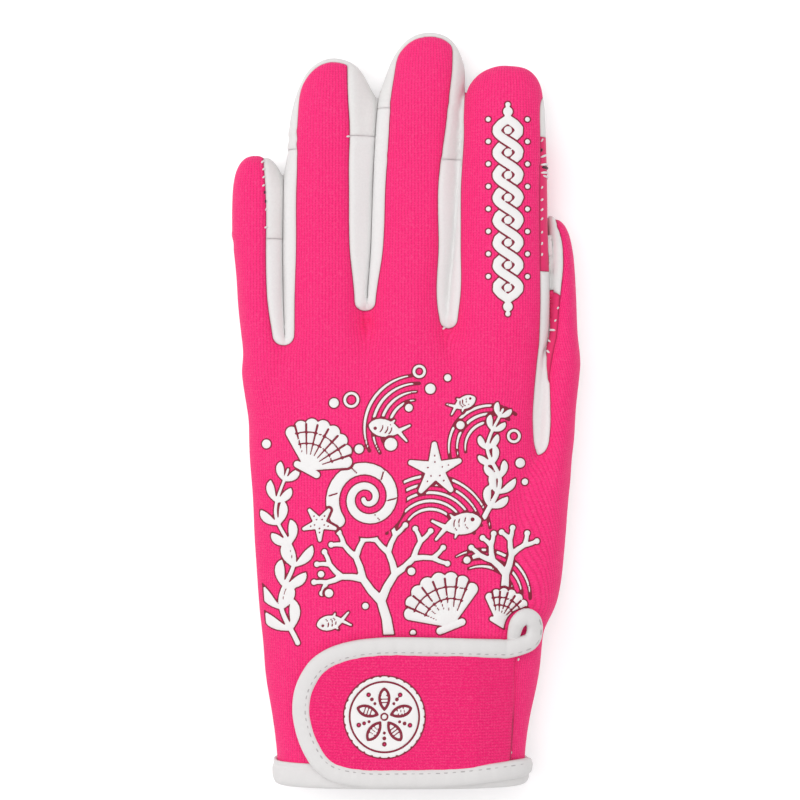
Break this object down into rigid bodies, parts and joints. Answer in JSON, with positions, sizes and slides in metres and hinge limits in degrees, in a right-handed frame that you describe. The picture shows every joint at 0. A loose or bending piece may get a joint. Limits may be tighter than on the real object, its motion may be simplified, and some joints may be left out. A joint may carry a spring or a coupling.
{
  "type": "diving glove",
  "caption": "Left-hand diving glove lying palm down, with a stretch back, suede palm and finger walls, bound cuff and a wide wrist strap.",
  "frame": {"origin": "middle of the palm's flat underside, where the glove rests", "axes": "+Y from the cuff to the fingertips, +X to the thumb's side, +Z out of the back of the hand"},
  "size_m": [0.1117, 0.2403, 0.0316],
  "materials": {
    "pink_neoprene": "matt ribbed jersey over neoprene",
    "pink_patch": "matt synthetic suede",
    "white_suede": "matt synthetic suede",
    "white_binding": "soft folded binding tape"
  },
  "bodies": {
    "root": {"back_panel": "pink_neoprene", "palm_panel": "white_suede", "thumb_palm": "white_suede", "fourchette_little_ring": "white_suede", "fourchette_ring_middle": "white_suede", "fourchette_middle_index": "white_suede", "thumb_gusset": "white_suede", "index_patch": "pink_patch", "thumb_patch": "pink_patch", "strap": "pink_neoprene", "strap_binding": "white_binding", "hem_binding": "white_binding"}
  },
  "joints": []
}
